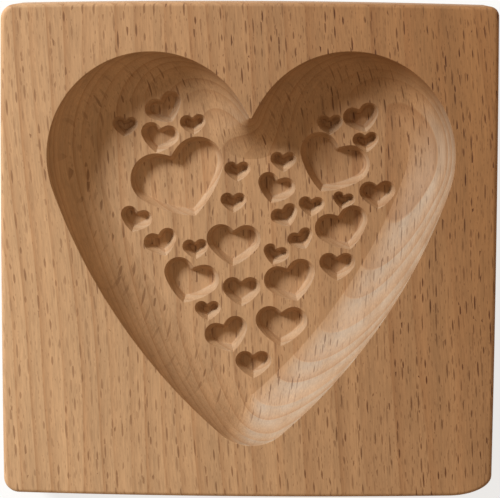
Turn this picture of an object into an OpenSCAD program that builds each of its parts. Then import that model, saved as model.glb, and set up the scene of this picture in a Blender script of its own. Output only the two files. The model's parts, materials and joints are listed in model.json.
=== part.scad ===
// Cookie mould: one block of beech with a heart hollow cut in its face,
// and a scatter of little heart pockets sunk in the floor of the hollow.
// The block lies on its back with the carved face up, cusp of the heart towards +Y.
// Millimetres. The origin is the middle of the underside.

/* [Block] */
// Width of the block across its middle
board_w = 100; // [90:1:140]
// Length of the block along the grain, at its middle
board_l = 100.5; // [90:0.5:140]
// Thickness of the block
board_t = 20; // [16:1:30]
// Round sanded along every edge
edge_r = 0.9; // [0.3:0.1:1.5]
// How far each long-grain side bows out at its middle
side_bow = 0.25; // [0:0.05:1]
// How far each end-grain side bows out at its middle
end_bow = 0.65; // [0:0.05:1.5]
// Corner radius at the back left
corner_back_left = 2.9; // [1.6:0.1:8]
// Corner radius at the back right
corner_back_right = 1.9; // [1.6:0.1:8]
// Corner radius at the front left
corner_front_left = 3.1; // [1.6:0.1:8]
// Worn corner at the front right, along the front
corner_front_right_x = 8.5; // [1.6:0.1:10]
// Worn corner at the front right, along the side
corner_front_right_y = 4.1; // [1.6:0.1:10]

/* [Heart hollow] */
// Width of the heart at the face
heart_w = 82; // [70:1:86]
// Length of the heart at the face, lobe tops to tip
heart_l = 80; // [72:1:86]
// Radius of the two lobes
lobe_r = 21; // [18:0.5:22]
// Radius of the two long sides
side_r = 118; // [95:1:200]
// Radius of the stretch between a lobe and the cusp
cusp_r = 45; // [30:1:80]
// How far the cusp lies below the lobe tops
cusp_drop = 13.4; // [11:0.2:16]
// Round left on the wood at the cusp
cusp_round = 0.15; // [0.05:0.05:1]
// Radius of the tip where the wall meets the floor
floor_tip_r = 0.4; // [0.2:0.1:4]
// Depth of the floor below the face
hollow_depth = 9; // [6:0.5:11]
// Width of the curved wall, from the rim in to the floor
wall_run = 8.9; // [6:0.1:11]
// Radius of the curve of the wall
wall_r = 12; // [10:0.5:30]
// Shift of the heart to the right of the middle
heart_x = 0.5; // [-2:0.1:2]
// Shift of the heart to the back of the middle
heart_y = 0.45; // [-2:0.05:2]
// Turn of the heart on the block, anticlockwise
heart_turn = 0.3; // [-5:0.1:5]

/* [Little hearts] */
// Depth of the pockets below the floor of the hollow
pocket_depth = 2.4; // [1:0.1:3.5]
// How far the pocket walls lean in over their depth
pocket_run = 1.15; // [0.2:0.05:1.2]
// Size of the little hearts against the drawn pattern
little_size = 1; // [0.8:0.05:1.05]
// Round left on the wood at the cusp of each
little_cusp_round = 0.1; // [0.05:0.05:0.2]

/* [Smoothness] */
// Steps round each lobe of the large heart
lobe_steps = 22; // [8:1:40]
// Steps down the curved wall
wall_steps = 8; // [3:1:16]
// Steps round each lobe of a little heart
little_steps = 9; // [4:1:12]
// Steps round each corner and edge of the block
edge_steps = 5; // [2:1:8]

/* [Hidden] */

// Reach of the hollow's cutter above the face, and of a pocket's above the floor
cut_over = 2;
// The tip is as round as the wall is wide, plus the round left at the floor
tip_r = wall_run + floor_tip_r;
floor_z = board_t - hollow_depth;

// The straight part of a pocket's cutter starts just above the floor that it cuts
rim_lift = 0.05;

// A little heart of width 1: length, lobe radius, side radius, cusp radius and cusp drop
little_l = 0.775;
little_lobe_r = 0.265;
little_side_r = 1.15;
little_cusp_r = 0.6;
little_cusp_drop = 0.105;
// The wall of a pocket stops short of the middle of its lobe
lobe_share = 0.8;

// The scatter of little hearts, one row each, as read off the face:
// across and along from the middle of the hollow, and width, in percent of the
// hollow's own width and length, then the turn in degrees, clockwise.
little_hearts = [
    [-31.5, 30.5, 6.5, 3],
    [-21.5, 35, 9.5, -27],
    [-23, 27.5, 9.5, 11],
    [-14.5, 31, 6.5, -5],
    [-17.5, 16.5, 24, -22],
    [-3.5, 19, 6.5, 0],
    [-4.5, 11, 6.5, 0],
    [-29, 6.5, 8, 17],
    [-22.5, 0.5, 8.5, -20],
    [-14, -1, 6.5, -3],
    [-15.5, -9.5, 14, 17],
    [-11, -17, 6.5, 0],
    [-4.5, 0, 13.5, 2],
    [-2.5, -12, 9.5, 0],
    [-6, -23.5, 11, -20],
    [0.5, -31, 9, 0],
    [7.5, -21, 13, 2],
    [10, -9.5, 13, -18],
    [6, -2.5, 6.5, 17],
    [12.5, 1.5, 6.5, -25],
    [8.5, 7.5, 7, -25],
    [6, 14.5, 9.5, 18],
    [8, 21.5, 6.5, 0],
    [15, 10, 6.5, 3],
    [20, 20.5, 18, 23],
    [19.5, 31, 6.5, 0],
    [27.5, 32.5, 9, -17],
    [28.5, 26.5, 6.5, -5],
    [23, 11.5, 5.5, 12],
    [31.5, 13, 9, -3],
    [23, 4, 13.5, -20],
    [21.5, -5.5, 9, 0]
];

function direction(from, to) = atan2(to[1] - from[1], to[0] - from[0]);

// Points along an arc, without its last one
function arc_points(centre, radius, from, to, steps) = [
    for (i = [0:steps - 1])
        let (angle = from + (to - from) * i / steps)
        centre + radius * [cos(angle), sin(angle)]
];

// Where two circles cross, on the left-hand side of the line from a to b
function circles_cross(a, a_r, b, b_r) =
    let (
        gap = norm(b - a),
        along = (a_r * a_r - b_r * b_r + gap * gap) / (2 * gap),
        off = sqrt(max(a_r * a_r - along * along, 0)),
        way = (b - a) / gap
    )
    a + along * way + off * [-way[1], way[0]];

// The outline of a heart, drawn in by inset, anticlockwise from its tip and
// centred on its width and length. All its arcs are tangent: tip, side, lobe,
// inner side and the round at the cusp, so an inset only changes their radii.
// With a tip radius of 0 the two sides meet in a point.
function heart_outline(w, l, lobe, side, tip, cusp, drop, round, inset, steps) =
    let (
        lobe_c = [w / 2 - lobe, 0],
        tip_c = [0, lobe - l + tip],
        cusp_c = [0, lobe - drop + round],
        side_c = circles_cross(tip_c, side - tip, lobe_c, side - lobe),
        inner = circles_cross(lobe_c, cusp - lobe, cusp_c, cusp + round),
        lobe_end = direction(side_c, lobe_c),
        lobe_start = direction(inner, lobe_c),
        cusp_end = direction(cusp_c, inner),
        side_end = tip > 0
            ? direction(side_c, tip_c)
            : -acos(-side_c[0] / (side - inset)),
        half = concat(
            tip > 0
                ? arc_points(tip_c, tip - inset, -90, side_end, ceil(steps / 3))
                : [],
            arc_points(side_c, side - inset, side_end, lobe_end, ceil(steps / 2)),
            arc_points(lobe_c, lobe - inset, lobe_end, lobe_start, steps),
            arc_points(inner, cusp - inset, lobe_start, cusp_end + 180, ceil(steps / 8)),
            arc_points(cusp_c, round + inset, cusp_end, -90, ceil(steps / 5)),
            [cusp_c - [0, round + inset]]
        ),
        last = len(half) - 1,
        mirrored = [for (i = [last - 1:-1:1]) [-half[i][0], half[i][1]]],
        drawn = concat(half, mirrored)
    )
    [for (p = drawn) p - [0, lobe - l / 2]];

// One quarter of the block's outline round a corner, from angle to angle + 90
function corner_points(sx, sy, rx, ry, inset, angle) = [
    for (i = [0:edge_steps])
        let (a = angle + 90 * i / edge_steps)
        [
            sx * (board_w / 2 - rx) + (rx - inset) * cos(a),
            sy * (board_l / 2 - ry) + (ry - inset) * sin(a)
        ]
];

// Points that divide a straight edge between two corners, so that it can bow
function edge_points(from, to) = [
    for (i = [1:2 * edge_steps - 1])
        from + (to - from) * i / (2 * edge_steps)
];

// The four sides draw in from their middles towards the corners
function bowed(p) = [
    p[0] * (1 - 2 * side_bow / board_w * pow(2 * p[1] / board_l, 2)),
    p[1] * (1 - 2 * end_bow / board_l * pow(2 * p[0] / board_w, 2))
];

function board_outline(inset) =
    let (
        back_right = corner_points(1, 1, corner_back_right, corner_back_right, inset, 0),
        back_left = corner_points(-1, 1, corner_back_left, corner_back_left, inset, 90),
        front_left = corner_points(-1, -1, corner_front_left, corner_front_left, inset, 180),
        front_right = corner_points(
            1, -1, corner_front_right_x, corner_front_right_y, inset, 270
        ),
        drawn = concat(
            back_right, edge_points(back_right[edge_steps], back_left[0]),
            back_left, edge_points(back_left[edge_steps], front_left[0]),
            front_left, edge_points(front_left[edge_steps], front_right[0]),
            front_right, edge_points(front_right[edge_steps], back_right[0])
        )
    )
    [for (p = drawn) bowed(p)];

function at_height(outline, z) = [for (p = outline) [p[0], p[1], z]];

// A closed solid through a stack of outlines with as many points each,
// anticlockwise from above and listed from the lowest to the highest
module loft(rings) {
    count = len(rings[0]);
    levels = len(rings);
    points = [for (ring = rings) each ring];
    sides = [
        for (k = [0:levels - 2], j = [0:count - 1])
            let (
                low = k * count + j,
                low_next = k * count + (j + 1) % count,
                high = low + count,
                high_next = low_next + count
            )
            each [[low, high, high_next], [low, high_next, low_next]]
    ];
    underside = [for (j = [0:count - 1]) j];
    topside = [for (j = [count - 1:-1:0]) (levels - 1) * count + j];
    polyhedron(points, concat([underside], sides, [topside]));
}

// The sanded block: both faces flat, every edge rounded
module board() {
    lower = [
        for (i = [0:edge_steps])
            let (a = 90 * i / edge_steps)
            at_height(board_outline(edge_r * (1 - sin(a))), edge_r * (1 - cos(a)))
    ];
    upper = [
        for (i = [edge_steps:-1:0])
            let (a = 90 * i / edge_steps)
            at_height(board_outline(edge_r * (1 - sin(a))), board_t - edge_r * (1 - cos(a)))
    ];
    loft(concat(lower, upper));
}

// The wall in section, across from the rim and down from the face: a hollow
// curve of radius wall_r from the rim to the edge of the floor
wall_rim = [0, 0];
wall_foot = [wall_run, -hollow_depth];
wall_centre = circles_cross(wall_rim, wall_r, wall_foot, wall_r);
rim_angle = direction(wall_centre, wall_rim);
foot_angle = direction(wall_centre, wall_foot);

function large_heart(inset) =
    heart_outline(
        heart_w, heart_l, lobe_r, side_r, tip_r, cusp_r, cusp_drop, cusp_round, inset, lobe_steps
    );

// The heart hollow with its flat floor and concave wall
module hollow() {
    rim = large_heart(0);
    wall = [
        for (i = [wall_steps - 1:-1:1])
            let (
                a = rim_angle + (foot_angle - rim_angle) * i / wall_steps,
                p = wall_centre + wall_r * [cos(a), sin(a)]
            )
            at_height(large_heart(p[0]), board_t + p[1])
    ];
    loft(concat(
        [at_height(large_heart(wall_run), floor_z)],
        wall,
        [at_height(rim, board_t), at_height(rim, board_t + cut_over)]
    ));
}

// One little heart of the given width, its rim on the floor of the hollow
module pocket(w) {
    run = min(pocket_run, lobe_share * little_lobe_r * w);
    rim = little_heart(w, 0);
    foot = little_heart(w, run);
    loft([
        at_height(foot, floor_z - pocket_depth),
        at_height(rim, floor_z + rim_lift),
        at_height(rim, floor_z + cut_over)
    ]);
}

function little_heart(w, inset) =
    heart_outline(
        w, little_l * w, little_lobe_r * w, little_side_r * w, 0,
        little_cusp_r * w, little_cusp_drop * w, little_cusp_round, inset, little_steps
    );

module mould_block() {
    color("burlywood")
    difference() {
        board();
        translate([heart_x, heart_y])
        rotate(heart_turn) {
            hollow();
            for (heart = little_hearts) {
                translate([heart[0] / 100 * heart_w, heart[1] / 100 * heart_l])
                rotate(-heart[3])
                pocket(heart[2] / 100 * heart_w * little_size);
            }
        }
    }
}

mould_block();
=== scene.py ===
import json
import math

import bmesh
import bpy
from mathutils import Matrix, Vector

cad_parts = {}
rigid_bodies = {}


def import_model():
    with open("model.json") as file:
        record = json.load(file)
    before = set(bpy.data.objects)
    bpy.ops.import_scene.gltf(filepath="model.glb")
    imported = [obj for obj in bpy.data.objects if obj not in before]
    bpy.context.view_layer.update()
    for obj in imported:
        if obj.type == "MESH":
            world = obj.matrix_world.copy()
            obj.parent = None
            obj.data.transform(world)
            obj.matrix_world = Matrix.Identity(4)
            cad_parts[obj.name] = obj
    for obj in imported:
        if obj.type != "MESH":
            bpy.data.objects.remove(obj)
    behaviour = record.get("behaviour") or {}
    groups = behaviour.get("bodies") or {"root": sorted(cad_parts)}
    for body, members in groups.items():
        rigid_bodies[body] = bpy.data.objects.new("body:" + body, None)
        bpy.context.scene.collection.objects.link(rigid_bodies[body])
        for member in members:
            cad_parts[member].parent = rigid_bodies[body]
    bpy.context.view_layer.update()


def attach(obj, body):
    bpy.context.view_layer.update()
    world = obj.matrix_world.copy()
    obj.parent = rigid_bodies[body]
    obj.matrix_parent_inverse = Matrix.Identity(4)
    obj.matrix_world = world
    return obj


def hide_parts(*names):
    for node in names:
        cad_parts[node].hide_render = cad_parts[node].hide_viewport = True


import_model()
scene = bpy.context.scene
scene.view_settings.view_transform = "Standard"
millimetre = 0.001

# The block and its hollow, in millimetres
block = {
    "width": 100.0, "length": 100.5, "thickness": 20.0,
    "edgeRound": 0.9, "sideBow": 0.25, "endBow": 0.65,
    # Radii across and along at the back right, back left, front left and front right
    "corners": [(1.9, 1.9), (2.9, 2.9), (3.1, 3.1), (8.5, 4.1)],
    "cornerSteps": 12, "edgeSteps": 26, "roundSteps": 9, "sharpAngle": 11,
}
largeHeart = {
    "width": 82.0, "length": 80.0, "lobe": 21.0, "side": 118.0, "tip": 9.3,
    "cusp": 45.0, "drop": 13.4, "round": 0.3,
    "steps": {"tip": 18, "side": 34, "lobe": 64, "inner": 8, "cusp": 12},
}
hollow = {
    "depth": 9.0, "run": 8.9, "wallRadius": 12.0, "wallSteps": 26,
    "ease": 0.2, "easeSteps": 6, "easeOut": 1.5, "clear": 2.0,
    "shift": (0.5, 0.45), "turn": 0.3,
}
rimTurn = 75  # how far an eased rim turns over, in degrees
# A little heart of width 1
littleHeart = {
    "length": 0.775, "lobe": 0.265, "side": 1.15, "cusp": 0.6, "drop": 0.105,
    "steps": {"tip": 0, "side": 12, "lobe": 22, "inner": 5, "cusp": 4},
}
pocket = {
    "depth": 2.4, "run": 1.15, "lobeShare": 0.8, "cuspRound": 0.14,
    "fillet": 0.2, "filletSteps": 5, "ease": 0.09, "easeSteps": 4, "stand": 0.04, "clear": 2.0,
}
# Across and along from the middle of the hollow and width, in percent of the hollow, then the clockwise turn
littleHearts = [
    (-31.5, 30.5, 6.5, 3), (-21.5, 35, 9.5, -27), (-23, 27.5, 9.5, 11), (-14.5, 31, 6.5, -5),
    (-17.5, 16.5, 24, -22), (-3.5, 19, 6.5, 0), (-4.5, 11, 6.5, 0), (-29, 6.5, 8, 17),
    (-22.5, 0.5, 8.5, -20), (-14, -1, 6.5, -3), (-15.5, -9.5, 14, 17), (-11, -17, 6.5, 0),
    (-4.5, 0, 13.5, 2), (-2.5, -12, 9.5, 0), (-6, -23.5, 11, -20), (0.5, -31, 9, 0),
    (7.5, -21, 13, 2), (10, -9.5, 13, -18), (6, -2.5, 6.5, 17), (12.5, 1.5, 6.5, -25),
    (8.5, 7.5, 7, -25), (6, 14.5, 9.5, 18), (8, 21.5, 6.5, 0), (15, 10, 6.5, 3),
    (20, 20.5, 18, 23), (19.5, 31, 6.5, 0), (27.5, 32.5, 9, -17), (28.5, 26.5, 6.5, -5),
    (23, 11.5, 5.5, 12), (31.5, 13, 9, -3), (23, 4, 13.5, -20), (21.5, -5.5, 9, 0),
]


def onCircle(centre, radius, degrees):
    angle = math.radians(degrees)
    return centre + radius * Vector((math.cos(angle), math.sin(angle)))


def arcPoints(centre, radius, start, end, steps):
    return [onCircle(centre, radius, start + (end - start) * i / steps) for i in range(steps)]


def heading(start, end):
    return math.degrees(math.atan2(end.y - start.y, end.x - start.x))


# Where two circles cross, on the left of the line from a to b
def circlesCross(a, aRadius, b, bRadius):
    gap = (b - a).length
    along = (aRadius ** 2 - bRadius ** 2 + gap ** 2) / (2 * gap)
    off = math.sqrt(max(aRadius ** 2 - along ** 2, 0))
    way = (b - a) / gap
    return a + along * way + off * Vector((-way.y, way.x))


# A heart of tangent arcs, drawn in by inset, anticlockwise from its tip
def heartOutline(size, inset):
    steps = size["steps"]
    lobe, side, tip, cusp = size["lobe"], size["side"], size["tip"], size["cusp"]
    lobeCentre = Vector((size["width"] / 2 - lobe, 0))
    tipCentre = Vector((0, lobe - size["length"] + tip))
    cuspCentre = Vector((0, lobe - size["drop"] + size["round"]))
    sideCentre = circlesCross(tipCentre, side - tip, lobeCentre, side - lobe)
    innerCentre = circlesCross(lobeCentre, cusp - lobe, cuspCentre, cusp + size["round"])
    lobeStart = heading(sideCentre, lobeCentre)
    lobeEnd = heading(innerCentre, lobeCentre)
    cuspStart = heading(cuspCentre, innerCentre)
    half = []
    if tip > 0:
        sideStart = heading(sideCentre, tipCentre)
        half += arcPoints(tipCentre, tip - inset, -90, sideStart, steps["tip"])
    else:
        sideStart = -math.degrees(math.acos(-sideCentre.x / (side - inset)))
    half += arcPoints(sideCentre, side - inset, sideStart, lobeStart, steps["side"])
    half += arcPoints(lobeCentre, lobe - inset, lobeStart, lobeEnd, steps["lobe"])
    half += arcPoints(innerCentre, cusp - inset, lobeEnd, cuspStart + 180, steps["inner"])
    half += arcPoints(cuspCentre, size["round"] + inset, cuspStart, -90, steps["cusp"])
    half.append(onCircle(cuspCentre, size["round"] + inset, -90))
    mirrored = [Vector((-p.x, p.y)) for p in reversed(half[1:-1])]
    middle = Vector((0, lobe - size["length"] / 2))
    return [p - middle for p in half + mirrored]


# The bowed outline of the block with its worn corners
def blockOutline(inset):
    halfWidth, halfLength = block["width"] / 2, block["length"] / 2
    signs = [(1, 1), (-1, 1), (-1, -1), (1, -1)]
    corners = []
    for k, ((sx, sy), (rx, ry)) in enumerate(zip(signs, block["corners"])):
        centre = Vector((sx * (halfWidth - rx), sy * (halfLength - ry)))
        steps = block["cornerSteps"]
        turns = [math.radians(90 * (k + i / steps)) for i in range(steps + 1)]
        corners.append([
            centre + Vector(((rx - inset) * math.cos(a), (ry - inset) * math.sin(a))) for a in turns
        ])
    drawn = []
    for corner, following in zip(corners, corners[1:] + corners[:1]):
        drawn += corner
        steps = block["edgeSteps"]
        drawn += [corner[-1].lerp(following[0], i / steps) for i in range(1, steps)]
    return [
        Vector((
            p.x * (1 - block["sideBow"] / halfWidth * (p.y / halfLength) ** 2),
            p.y * (1 - block["endBow"] / halfLength * (p.x / halfWidth) ** 2),
        ))
        for p in drawn
    ]


# A closed solid through rings of as many points each, lowest first
def loft(rings):
    bm = bmesh.new()
    bmesh.ops.create_circle(bm, cap_ends=True, segments=len(rings[0]), radius=1)
    cap = next(iter(bm.faces))
    for vert, place in zip(cap.verts, rings[0]):
        vert.co = place
    for number, ring in enumerate(rings[1:]):
        made = bmesh.ops.extrude_face_region(bm, geom=[cap])["geom"]
        if number:  # the first cap closes the bottom and the later ones would lie inside
            bmesh.ops.delete(bm, geom=[cap], context="FACES_ONLY")
        cap = next(item for item in made if isinstance(item, bmesh.types.BMFace))
        for vert, place in zip(cap.verts, ring):
            vert.co = place
    bmesh.ops.triangulate(bm, faces=[face for face in bm.faces if len(face.verts) > 4])
    bmesh.ops.recalc_face_normals(bm, faces=bm.faces)
    return bm


def atHeight(outline, z):
    return [Vector((p.x, p.y, z)) for p in outline]


def solidObject(name, bm):
    bmesh.ops.scale(bm, vec=(millimetre,) * 3, verts=bm.verts)
    mesh = bpy.data.meshes.new(name)
    bm.to_mesh(mesh)
    bm.free()
    made = bpy.data.objects.new(name, mesh)
    scene.collection.objects.link(made)
    return made


def blockRings():
    edge, top, steps = block["edgeRound"], block["thickness"], block["roundSteps"]
    turns = [math.radians(90 * i / steps) for i in range(steps + 1)]
    outlines = [blockOutline(edge * (1 - math.sin(a))) for a in turns]
    rises = [edge * (1 - math.cos(a)) for a in turns]
    lower = [atHeight(outline, rise) for outline, rise in zip(outlines, rises)]
    upper = [atHeight(outline, top - rise) for outline, rise in zip(outlines, rises)]
    return lower + upper[::-1]


# Points that round a rim over, out from its wall and up to just below the face
def easedRim(inset, ease, steps):
    turns = [math.radians(rimTurn * i / steps) for i in range(1, steps + 1)]
    return [(inset - ease + ease * math.cos(a), -ease + ease * math.sin(a)) for a in turns]


# Inset and height of the concave wall, from the floor up over the eased rim
def hollowProfile():
    run, depth, radius, ease = hollow["run"], hollow["depth"], hollow["wallRadius"], hollow["ease"]
    foot = Vector((run, -depth))
    centre = circlesCross(Vector((0, 0)), radius, foot, radius)
    footAngle = heading(centre, foot) % 360
    rimAngle = 180 + math.degrees(math.asin((centre.y + ease) / radius))
    steps = hollow["wallSteps"]
    wall = [
        onCircle(centre, radius, footAngle + (rimAngle - footAngle) * i / steps)
        for i in range(1, steps + 1)
    ]
    profile = [(run, -depth)] + [(p.x, p.y) for p in wall]
    profile += easedRim(wall[-1].x, ease, hollow["easeSteps"])
    inset, z = profile[-1]
    out = hollow["easeOut"] * ease  # carries the last slope of the round out through the face
    profile.append((inset - out, z + out * math.tan(math.radians(90 - rimTurn))))
    profile.append((profile[-1][0], hollow["clear"]))
    return profile


def hollowRings():
    top = block["thickness"]
    return [atHeight(heartOutline(largeHeart, inset), top + z) for inset, z in hollowProfile()]


# The rings of one little heart's cutter, from its floor up past the floor of the hollow
def pocketRings(width):
    size = {key: value * width for key, value in littleHeart.items() if key != "steps"}
    size.update(width=width, tip=0, round=pocket["cuspRound"], steps=littleHeart["steps"])
    depth = pocket["depth"]
    run = min(pocket["run"], pocket["lobeShare"] * size["lobe"])
    fillet = min(pocket["fillet"], 0.5 * (size["lobe"] - run))
    up = Vector((-run, depth)).normalized() * fillet
    corner = Vector((run, -depth))
    profile = []
    a, b = corner + Vector((fillet, 0)), corner + up
    for i in range(pocket["filletSteps"] + 1):
        t = i / pocket["filletSteps"]
        p = (1 - t) ** 2 * a + 2 * t * (1 - t) * corner + t ** 2 * b
        profile.append((p.x, p.y))
    ease = pocket["ease"]
    start = run * ease / depth
    profile.append((start, -ease))
    profile += easedRim(start, ease, pocket["easeSteps"])
    profile.append((profile[-1][0], pocket["stand"]))
    profile.append((profile[-1][0], pocket["clear"]))
    floor = block["thickness"] - hollow["depth"]
    return [atHeight(heartOutline(size, inset), floor + z) for inset, z in profile]


# The sanded block less its hollow and pockets, as one closed mesh
def cutBlock():
    base = solidObject("base", loft(blockRings()))
    cutters = bpy.data.collections.new("cutters")
    scene.collection.children.link(cutters)
    turn = math.radians(hollow["turn"])
    shift = Vector((*hollow["shift"], 0))
    pieces = [("hollow", loft(hollowRings()), Vector((0, 0, 0)), 0.0)]
    for number, (across, along, width, clockwise) in enumerate(littleHearts):
        place = Vector((across / 100 * largeHeart["width"], along / 100 * largeHeart["length"], 0))
        bm = loft(pocketRings(width / 100 * largeHeart["width"]))
        pieces.append((f"pocket{number}", bm, place, -math.radians(clockwise)))
    for name, bm, place, angle in pieces:
        bmesh.ops.rotate(bm, cent=(0, 0, 0), matrix=Matrix.Rotation(angle, 3, "Z"), verts=bm.verts)
        bmesh.ops.translate(bm, vec=place, verts=bm.verts)
        bmesh.ops.rotate(bm, cent=(0, 0, 0), matrix=Matrix.Rotation(turn, 3, "Z"), verts=bm.verts)
        bmesh.ops.translate(bm, vec=shift, verts=bm.verts)
        cutter = solidObject(name, bm)
        scene.collection.objects.unlink(cutter)
        cutters.objects.link(cutter)
    cut = base.modifiers.new("cut", "BOOLEAN")
    cut.operation = "DIFFERENCE"
    cut.operand_type = "COLLECTION"
    cut.collection = cutters
    cut.solver = "EXACT"
    whole = base.evaluated_get(bpy.context.evaluated_depsgraph_get())
    mesh = bpy.data.meshes.new_from_object(whole)
    for made in list(cutters.objects) + [base]:
        bpy.data.objects.remove(made)
    bpy.data.collections.remove(cutters)
    return mesh


# The beech: rings are cylinders about an axis along the grain, below the block and to its right.
# Lengths are in millimetres. Each noise is stretched across the rays, along the fibres and out
# through the rings, in turns per millimetre
wood = {
    "lean": 0.061, "pith": (85.0, -150.0), "rayDistance": 190.0,
    "ringWidth": 1.9, "ringDrift": 3.2, "ringNoise": (0.01, 0.22), "ringSeed": 3.7,
    "sway": 6.0, "swayNoise": (0.02, 0.012),
    "fibreNoise": (3.2, 0.22, 3.2), "streakNoise": (0.32, 0.012, 0.3), "cloudNoise": 0.045,
    "boldRays": {"cell": (1.55, 3.3, 20.0), "half": (0.21, 1.75), "share": 0.85, "weight": 0.95},
    "fineRays": {"cell": (0.8, 1.5, 14.0), "half": (0.11, 0.6), "share": 0.8, "weight": 0.5},
    # The slant, paleFrom, deepFrom and insideShare settings shape the falloff, which is partly painted light
    "slant": 0.35, "cloudReach": 16.0, "paleFrom": -44.0, "deepFrom": 58.0, "insideShare": -0.2,
    # The direction on this line points toward the key light; walls facing it get a painted lit tint
    "towardKeyLight": (-0.78, 0.62, 0.0), "lateWeight": 0.85,
    "bump": 0.35, "bumpDepth": 0.00006, "specular": 0.35,
    # Pale and deep are the ends of the falloff from front left to back right, partly painted light falloff
    "pale": (0.500, 0.302, 0.164), "deep": (0.270, 0.126, 0.048), "late": (0.72, 0.60, 0.50),
    # The last colour is the painted tint of walls lit by the key from the back left
    "ray": (0.28, 0.165, 0.095), "paintedLitTint": (0.310, 0.226, 0.162),
}


def addNode(tree, kind, inputs=None, **settings):
    made = tree.nodes.new(kind)
    for name, value in settings.items():
        setattr(made, name, value)
    for key, value in (inputs or {}).items():
        if isinstance(value, bpy.types.NodeSocket):
            tree.links.new(value, made.inputs[key])
        else:
            made.inputs[key].default_value = value
    return made


def calc(tree, operation, *values, clamp=False):
    made = addNode(tree, "ShaderNodeMath", dict(enumerate(values)), operation=operation, use_clamp=clamp)
    return made.outputs[0]


def vector(tree, x, y, z):
    return addNode(tree, "ShaderNodeCombineXYZ", {0: x, 1: y, 2: z}).outputs[0]


# A place scaled by its own factor on each axis, with nothing on an axis that isn't given
def stretched(tree, place, factors):
    scaled = [calc(tree, "MULTIPLY", value, factor) for value, factor in zip(place, factors)]
    return vector(tree, *(scaled + [0.0] * (3 - len(scaled))))


def ramp(tree, value, low, high, start=0.0, end=1.0, smooth=True):
    made = addNode(
        tree, "ShaderNodeMapRange",
        {"Value": value, "From Min": low, "From Max": high, "To Min": start, "To Max": end},
        interpolation_type="SMOOTHSTEP" if smooth else "LINEAR",
    )
    return made.outputs[0]


def noiseAt(tree, place, scale, detail=2.0, roughness=0.5):
    made = addNode(
        tree, "ShaderNodeTexNoise",
        {"Vector": place, "Scale": scale, "Detail": detail, "Roughness": roughness},
        noise_dimensions="3D",
    )
    return made.outputs["Fac"]


def mixColour(tree, factor, a, b, blend="MIX"):
    made = addNode(
        tree, "ShaderNodeMix", {0: factor, 6: a, 7: b}, data_type="RGBA", blend_type=blend,
    )
    return made.outputs[2]


# Spindle-shaped cuts through the wood's rays, one to a cell, each of its own length and strength
def rayDashes(tree, across, along, through, kind):
    cell, half = kind["cell"], kind["half"]
    scaled = vector(
        tree,
        calc(tree, "DIVIDE", across, cell[0]),
        calc(tree, "DIVIDE", along, cell[1]),
        calc(tree, "DIVIDE", through, cell[2]),
    )
    cells = addNode(
        tree, "ShaderNodeTexVoronoi", {"Vector": scaled, "Scale": 1.0, "Randomness": 1.0},
        voronoi_dimensions="3D", feature="F1",
    )
    offset = addNode(
        tree, "ShaderNodeVectorMath", {0: scaled, 1: cells.outputs["Position"]}, operation="SUBTRACT",
    ).outputs[0]
    parts = addNode(tree, "ShaderNodeSeparateXYZ", {0: offset}).outputs
    chance = addNode(tree, "ShaderNodeSeparateColor", {0: cells.outputs["Color"]}).outputs
    reach = calc(tree, "MULTIPLY_ADD", chance[1], half[1] * 0.9, half[1] * 0.45)
    u = calc(tree, "DIVIDE", calc(tree, "ABSOLUTE", calc(tree, "MULTIPLY", parts[0], cell[0])), half[0])
    v = calc(tree, "DIVIDE", calc(tree, "MULTIPLY", parts[1], cell[1]), reach)
    body = calc(tree, "SUBTRACT", calc(tree, "SUBTRACT", 1.0, calc(tree, "MULTIPLY", v, v)), u)
    shape = ramp(tree, body, 0.0, 0.5)
    strength = ramp(tree, chance[0], 1 - kind["share"], 1.0, 0.0, 1.0, smooth=False)
    return calc(tree, "MULTIPLY", shape, strength)


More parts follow.
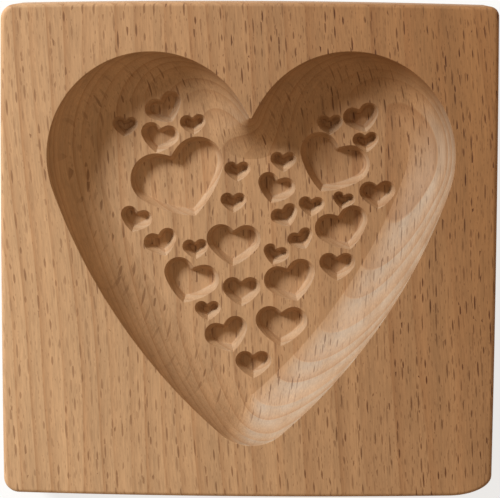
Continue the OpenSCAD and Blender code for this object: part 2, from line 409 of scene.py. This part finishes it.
def beechMaterial():
    material = bpy.data.materials.new("beech")
    material.use_nodes = True
    tree = material.node_tree
    tree.nodes.clear()
    place = addNode(tree, "ShaderNodeTexCoord").outputs["Object"]
    place = addNode(
        tree, "ShaderNodeVectorMath", {0: place, "Scale": 1 / millimetre}, operation="SCALE",
    ).outputs[0]
    x, y, z = addNode(tree, "ShaderNodeSeparateXYZ", {0: place}).outputs

    # Grain coordinates: along the fibres, across the rays and out through the rings
    sway = noiseAt(tree, stretched(tree, (x, y), wood["swayNoise"]), 1.0, 1.0)
    leaned = calc(tree, "MULTIPLY_ADD", y, wood["lean"], x)
    leaned = calc(tree, "MULTIPLY_ADD", sway, wood["sway"], leaned)
    toSide = calc(tree, "SUBTRACT", leaned, wood["pith"][0])
    toFace = calc(tree, "SUBTRACT", z, wood["pith"][1])
    through = calc(tree, "SQRT", calc(
        tree, "ADD", calc(tree, "MULTIPLY", toSide, toSide), calc(tree, "MULTIPLY", toFace, toFace)
    ))
    across = calc(tree, "MULTIPLY", calc(tree, "ARCTAN2", toSide, toFace), wood["rayDistance"])

    # Growth rings of uneven width, each darkening to a line
    alongRings, throughRings = wood["ringNoise"]
    uneven = noiseAt(tree, vector(
        tree, 0.0, calc(tree, "MULTIPLY", y, alongRings), calc(tree, "MULTIPLY", through, throughRings)
    ), 1.0, 1.0)
    drifted = calc(tree, "MULTIPLY_ADD", uneven, wood["ringDrift"], through)
    rings = calc(tree, "DIVIDE", drifted, wood["ringWidth"])
    saw = calc(tree, "FRACT", rings)
    late = calc(tree, "MULTIPLY", calc(tree, "POWER", saw, 3.0), ramp(tree, saw, 1.0, 0.94))
    ringStrength = noiseAt(tree, vector(tree, calc(tree, "FLOOR", rings), 0.0, 0.0), wood["ringSeed"], 0.0)
    late = calc(tree, "MULTIPLY", late, ramp(tree, ringStrength, 0.3, 0.7, 0.35, 1.0))

    # Fibres and slow clouds of tone
    grain = (across, y, through)
    fibre = noiseAt(tree, stretched(tree, grain, wood["fibreNoise"]), 1.0, 3.0, 0.65)
    streak = noiseAt(tree, stretched(tree, grain, wood["streakNoise"]), 1.0, 2.0)
    cloud = noiseAt(tree, place, wood["cloudNoise"], 2.0)

    boldRays = rayDashes(tree, across, y, through, wood["boldRays"])
    fineRays = rayDashes(tree, across, y, through, wood["fineRays"])

    # Partly the wood's own tone and partly painted light falloff from the key at the left: paler at the
    # front left and browner at the back right
    slant = calc(tree, "MULTIPLY_ADD", cloud, wood["cloudReach"], x)
    slant = calc(tree, "MULTIPLY_ADD", y, wood["slant"], slant)
    paintedFalloff = ramp(tree, slant, wood["paleFrom"], wood["deepFrom"], 0.0, 1.0, smooth=False)
    inside = ramp(tree, z, 19.6, 15.0)  # the painted falloff is a fifth weaker below the face, so the hollow's walls and floor are paler
    paintedFalloff = calc(tree, "MULTIPLY", paintedFalloff, calc(tree, "MULTIPLY_ADD", inside, wood["insideShare"], 1.0))
    colour = mixColour(tree, paintedFalloff, (*wood["pale"], 1), (*wood["deep"], 1))

    # Painted light: walls facing the key light at the back left get a paler, creamier tint, strongest in the
    # early wood of each ring
    normal = addNode(tree, "ShaderNodeNewGeometry").outputs["Normal"]
    facingKey = addNode(
        tree, "ShaderNodeVectorMath", {0: normal, 1: wood["towardKeyLight"]}, operation="DOT_PRODUCT",
    ).outputs["Value"]
    fromMiddle = calc(tree, "MAXIMUM", calc(tree, "ABSOLUTE", x), calc(tree, "ABSOLUTE", y))
    paintedLitTint = ramp(tree, facingKey, 0.1, 0.55, 0.0, 0.9)
    for share in (
        ramp(tree, fromMiddle, 47.0, 45.0),  # not on the outer sides
        ramp(tree, z, 10.8, 11.4, 0.5, 1.0),  # less in the little pockets
        ramp(tree, saw, 0.0, 0.9, 1.0, 0.55),
        ramp(tree, streak, 0.3, 0.65, 0.65, 1.0),
    ):
        paintedLitTint = calc(tree, "MULTIPLY", paintedLitTint, share)
    colour = mixColour(tree, paintedLitTint, colour, (*wood["paintedLitTint"], 1))
    tone = calc(
        tree, "ADD", ramp(tree, fibre, 0.3, 0.7, 0.86, 1.14, smooth=False),
        ramp(tree, streak, 0.3, 0.7, -0.1, 0.1, smooth=False),
    )
    tones = addNode(tree, "ShaderNodeCombineColor", {0: tone, 1: tone, 2: tone}).outputs[0]
    colour = mixColour(tree, 1.0, colour, tones, "MULTIPLY")
    darkened = mixColour(tree, 1.0, colour, (*wood["late"], 1), "MULTIPLY")
    colour = mixColour(tree, calc(tree, "MULTIPLY", late, wood["lateWeight"]), colour, darkened)
    rays = calc(
        tree, "MAXIMUM", calc(tree, "MULTIPLY", boldRays, wood["boldRays"]["weight"]),
        calc(tree, "MULTIPLY", fineRays, wood["fineRays"]["weight"]),
    )
    level = addNode(tree, "ShaderNodeSeparateXYZ", {0: normal}).outputs[2]
    rays = calc(tree, "MULTIPLY", rays, ramp(tree, level, 0.5, 0.92, 0.15, 1.0))  # dashes on level faces
    rays = calc(tree, "MULTIPLY", rays, ramp(tree, paintedFalloff, 0.0, 0.9, 0.6, 1.05))  # fainter toward the paler front left of the painted falloff
    colour = mixColour(tree, rays, colour, mixColour(tree, 1.0, colour, (*wood["ray"], 1), "MULTIPLY"))

    height = calc(tree, "SUBTRACT", calc(tree, "MULTIPLY", fibre, 0.35), rays)
    bump = addNode(tree, "ShaderNodeBump", {
        "Strength": wood["bump"], "Distance": wood["bumpDepth"], "Height": height,
    })
    shader = addNode(tree, "ShaderNodeBsdfPrincipled", {
        "Base Color": colour, "Roughness": ramp(tree, fibre, 0.3, 0.7, 0.62, 0.74, smooth=False),
        "Specular IOR Level": wood["specular"], "Normal": bump.outputs[0],
    })
    addNode(tree, "ShaderNodeOutputMaterial", {"Surface": shader.outputs[0]})
    return material


print("cutting the block")
mesh = cutBlock()
mesh.name = "beech_block"
piece = bpy.data.objects.new("beech_block", mesh)
scene.collection.objects.link(piece)
mesh.polygons.foreach_set("use_smooth", [True] * len(mesh.polygons))
mesh.set_sharp_from_angle(angle=math.radians(block["sharpAngle"]))
mesh.materials.clear()
mesh.materials.append(beechMaterial())
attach(piece, "root")
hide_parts("mould_block")
print("triangles", sum(len(polygon.vertices) - 2 for polygon in mesh.polygons))

# The floor reads as white paper to the camera and still takes the block's shadow
studio = {
    "floorSize": 3.0, "paper": 0.85, "whiteShare": 0.75,
    "fill": (1.0, 0.775, 0.52), "fillLight": 0.47,
    "keyPlace": (-1.10, 0.97, 0.87), "keySize": 0.46, "keyColour": (0.92, 0.985, 1.0), "keyPower": 41.5,
}


def paperMaterial():
    material = bpy.data.materials.new("paper")
    material.use_nodes = True
    tree = material.node_tree
    tree.nodes.clear()
    diffuse = addNode(tree, "ShaderNodeBsdfDiffuse", {"Color": (studio["paper"],) * 3 + (1,)})
    white = addNode(tree, "ShaderNodeEmission", {"Color": (1, 1, 1, 1), "Strength": 1.0})
    seen = addNode(tree, "ShaderNodeLightPath").outputs
    mirrored = calc(tree, "MAXIMUM", seen["Is Glossy Ray"], seen["Is Transmission Ray"])
    direct = calc(tree, "MAXIMUM", seen["Is Camera Ray"], mirrored)
    share = calc(tree, "MULTIPLY", direct, studio["whiteShare"])
    both = addNode(tree, "ShaderNodeMixShader", {0: share, 1: diffuse.outputs[0], 2: white.outputs[0]})
    addNode(tree, "ShaderNodeOutputMaterial", {"Surface": both.outputs[0]})
    return material


print("building the studio")
floorMesh = bpy.data.meshes.new("floor")
bm = bmesh.new()
bmesh.ops.create_grid(bm, x_segments=1, y_segments=1, size=studio["floorSize"] / 2)
bm.to_mesh(floorMesh)
bm.free()
floor = bpy.data.objects.new("floor", floorMesh)
scene.collection.objects.link(floor)
floorMesh.materials.append(paperMaterial())

world = bpy.data.worlds.new("world")
scene.world = world
world.use_nodes = True
background = world.node_tree.nodes["Background"]
background.inputs["Color"].default_value = (*studio["fill"], 1)
background.inputs["Strength"].default_value = studio["fillLight"]

keyLight = bpy.data.lights.new("key", "AREA")
keyLight.shape = "DISK"
keyLight.size = studio["keySize"]
keyLight.energy = studio["keyPower"]
keyLight.color = studio["keyColour"]
key = bpy.data.objects.new("key", keyLight)
key.location = studio["keyPlace"]
key.rotation_euler = (-Vector(studio["keyPlace"])).to_track_quat("-Z", "Y").to_euler()
scene.collection.objects.link(key)

# The camera stands almost straight above the face
view = {"place": (0.00585, 0.05844, 0.500), "turn": (-0.1195, 0.0121, 0.0048), "lens": 172.68}
cameraData = bpy.data.cameras.new("camera")
cameraData.sensor_width = 36.0
cameraData.lens = view["lens"]
camera = bpy.data.objects.new("camera", cameraData)
camera.location = view["place"]
camera.rotation_euler = view["turn"]
scene.collection.objects.link(camera)
scene.camera = camera
